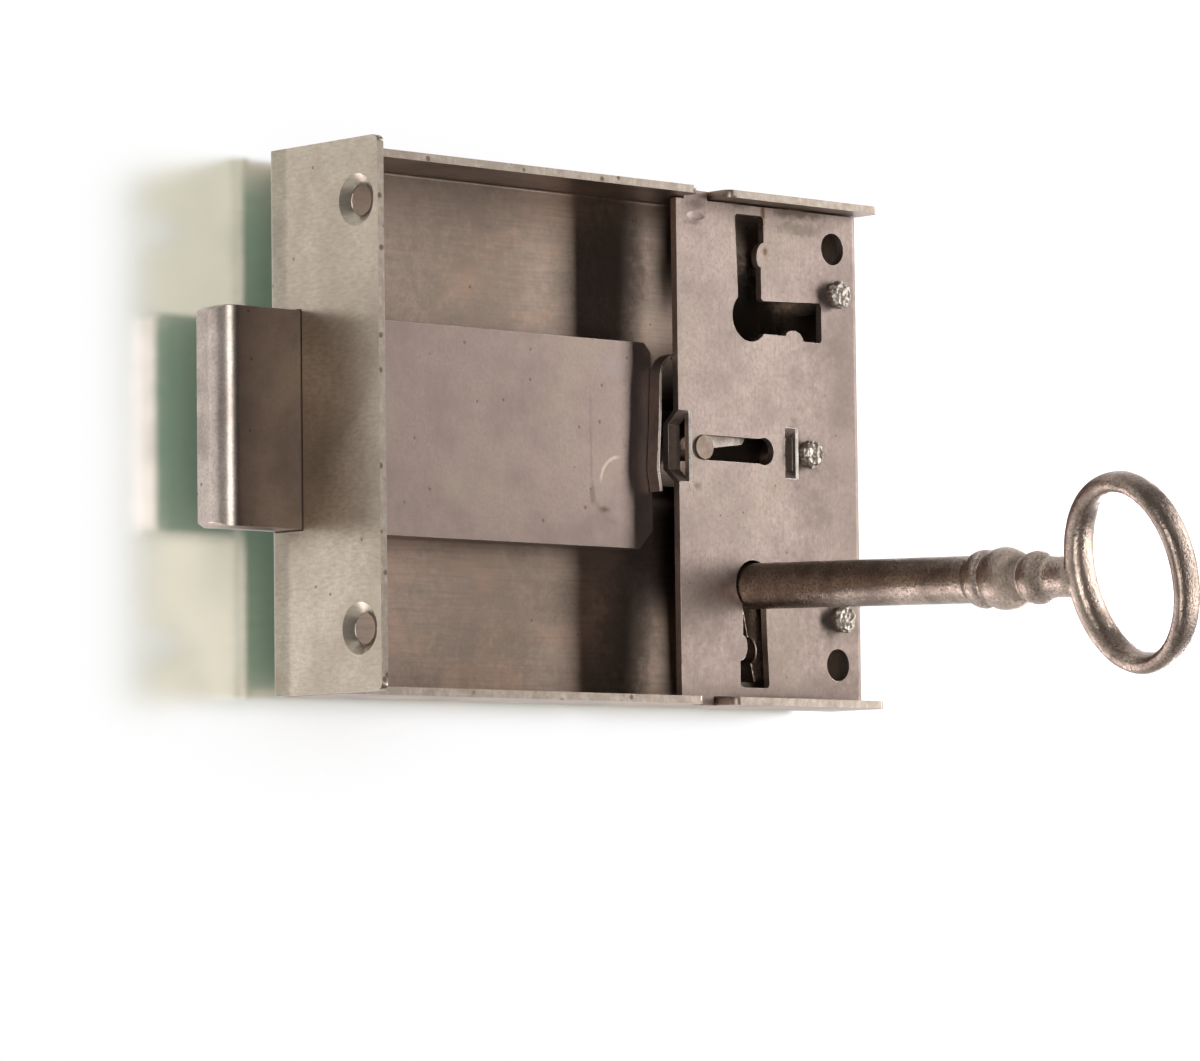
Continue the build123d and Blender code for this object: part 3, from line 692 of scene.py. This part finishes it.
ceiling = stepOf(tree, steep, *studio["aboveFrom"], 0.0, studio["above"])
leftWall = stepOf(tree, direction.outputs["X"], *studio["leftFrom"], 0.0, studio["left"])
glossy = mathOf(tree, "MAXIMUM", mathOf(tree, "MAXIMUM", room, ceiling),
                mathOf(tree, "MAXIMUM", leftWall, throughSheet))
seen = mathOf(tree, "MAXIMUM", path.outputs["Is Camera Ray"], path.outputs["Is Transmission Ray"])
glossyPart = mathOf(tree, "MULTIPLY", path.outputs["Is Glossy Ray"], glossy)
diffusePart = mathOf(tree, "MULTIPLY", path.outputs["Is Diffuse Ray"], studio["diffuse"])
strength = mathOf(tree, "MAXIMUM", mathOf(tree, "MAXIMUM", seen, glossyPart), diffusePart)
tree.links.new(strength, lit.inputs["Strength"])
print("world lit")

lamps = {
    "keyLamp": {"toward": (0.888, -0.451, 0.09), "far": 1.4, "size": (0.24, 1.4), "power": 17.0},
    "frontLamp": {"toward": (-0.40, -0.89, -0.27), "far": 0.8, "size": (0.34, 0.85), "power": 4.0},
}
lampTarget = Vector((0.04, 0.008, 0.0))
for name, values in lamps.items():
    light = bpy.data.lights.new(name, "AREA")
    light.shape = "RECTANGLE"
    light.size, light.size_y = values["size"]
    light.energy = values["power"]
    lamp = bpy.data.objects.new(name, light)
    toward = Vector(values["toward"]).normalized()
    lamp.location = lampTarget + toward * values["far"]
    lamp.rotation_mode = "QUATERNION"
    lamp.rotation_quaternion = toward.to_track_quat("Z", "Y")  # the long side stands upright
    bpy.context.scene.collection.objects.link(lamp)
print("lamps hung")

# the pale floor stands behind the lock and mirrors it softly; depths in mm, lengths in metres
floorLook = {"middle": 0.04, "at": 17.5, "half": 1.2, "reflect": (0.86, 0.79, 0.85), "rough": 0.24,
             "reach": 0.02, "samples": 8, "gap": 0.007, "firstRay": 1.5, "shade": 0.5,
             "openFrom": 0.8, "apart": 0.5}


def stageSheet(name, depth):
    deselectAll()
    middle = (floorLook["middle"], depth * mm, 0.0)
    bpy.ops.mesh.primitive_plane_add(size=2 * floorLook["half"], location=middle)
    sheet = bpy.context.object
    sheet.name = name
    bpy.ops.object.mode_set(mode="EDIT")
    bpy.ops.mesh.select_all(action="SELECT")
    bpy.ops.transform.rotate(value=math.radians(90), orient_axis="X", center_override=middle)
    bpy.ops.object.mode_set(mode="OBJECT")
    bpy.ops.object.transform_apply(location=True, rotation=True, scale=True)
    if sheet.data.polygons[0].normal.y > 0:
        sheet.data.flip_normals()
    return sheet


floor = stageSheet("paleFloor", floorLook["at"])
material, tree, out = bareMaterial("paleFloor")
glow = tree.nodes.new("ShaderNodeEmission")
occlusion = tree.nodes.new("ShaderNodeAmbientOcclusion")
occlusion.inputs["Distance"].default_value = floorLook["reach"]
occlusion.samples = floorLook["samples"]
unreflected = tuple(1.0 - value for value in floorLook["reflect"])
shaded = stepOf(tree, occlusion.outputs["AO"], 0.0, floorLook["openFrom"], floorLook["shade"], 1.0)
tree.links.new(mixColor(tree, shaded, (0.0, 0.0, 0.0), unreflected), glow.inputs["Color"])
mirror = tree.nodes.new("ShaderNodeBsdfGlossy")
mirror.inputs["Color"].default_value = (*floorLook["reflect"], 1.0)
mirror.inputs["Roughness"].default_value = floorLook["rough"]
mirror.distribution = "BECKMANN"  # no haze far from the object's image
both = tree.nodes.new("ShaderNodeAddShader")
tree.links.new(glow.outputs[0], both.inputs[0])
tree.links.new(mirror.outputs[0], both.inputs[1])
clear = tree.nodes.new("ShaderNodeBsdfTransparent")
pick = tree.nodes.new("ShaderNodeMixShader")
backSide = tree.nodes.new("ShaderNodeNewGeometry")
path = tree.nodes.new("ShaderNodeLightPath")
# the gap behind the back plate stays light when the object is seen from behind
farOff = mathOf(tree, "GREATER_THAN", path.outputs["Ray Length"], floorLook["gap"])
later = mathOf(tree, "GREATER_THAN", path.outputs["Glossy Depth"], floorLook["firstRay"])
mirrored = mathOf(tree, "MULTIPLY", path.outputs["Is Glossy Ray"], mathOf(tree, "MAXIMUM", farOff, later))
shown = mathOf(tree, "MAXIMUM", path.outputs["Is Camera Ray"], mirrored)
frontSide = mathOf(tree, "SUBTRACT", 1.0, backSide.outputs["Backfacing"])
tree.links.new(mathOf(tree, "MULTIPLY", shown, frontSide), pick.inputs[0])
tree.links.new(clear.outputs[0], pick.inputs[1])
tree.links.new(both.outputs[0], pick.inputs[2])
tree.links.new(pick.outputs[0], out.inputs["Surface"])
floor.data.materials.append(material)

# a clear sheet before the floor marks the rays that leave the floor's mirror
sheet = stageSheet("clearSheet", floorLook["at"] - floorLook["apart"])
material, tree, out = bareMaterial("clearSheet")
clear = tree.nodes.new("ShaderNodeBsdfTransparent")
tree.links.new(clear.outputs[0], out.inputs["Surface"])
sheet.data.materials.append(material)
sheet.visible_shadow = False
print("floor laid")

photo = {
    "at": (-0.39410, -0.45014, -0.05631), "turn": -43.686, "rise": -4.147, "roll": -0.673,
    "lens": 167.14, "sensor": 36.0, "near": 0.01, "far": 20.0,
}
turn, rise, roll = (math.radians(photo[k]) for k in ("turn", "rise", "roll"))
ahead = Vector((-math.sin(turn) * math.cos(rise), math.cos(turn) * math.cos(rise), -math.sin(rise)))
right = Vector((math.cos(turn), math.sin(turn), 0.0))
up = right.cross(ahead)
rightRolled = math.cos(roll) * right + math.sin(roll) * up
upRolled = -math.sin(roll) * right + math.cos(roll) * up
cameraData = bpy.data.cameras.new("photoCamera")
cameraData.lens = photo["lens"]
cameraData.sensor_width = photo["sensor"]
cameraData.clip_start = photo["near"]
cameraData.clip_end = photo["far"]
camera = bpy.data.objects.new("photoCamera", cameraData)
bpy.context.scene.collection.objects.link(camera)
camera.matrix_world = Matrix((
    (rightRolled.x, upRolled.x, -ahead.x, photo["at"][0]),
    (rightRolled.y, upRolled.y, -ahead.y, photo["at"][1]),
    (rightRolled.z, upRolled.z, -ahead.z, photo["at"][2]),
    (0, 0, 0, 1)))
bpy.context.scene.camera = camera
print("camera placed")

bpy.context.scene.view_settings.view_transform = "Standard"
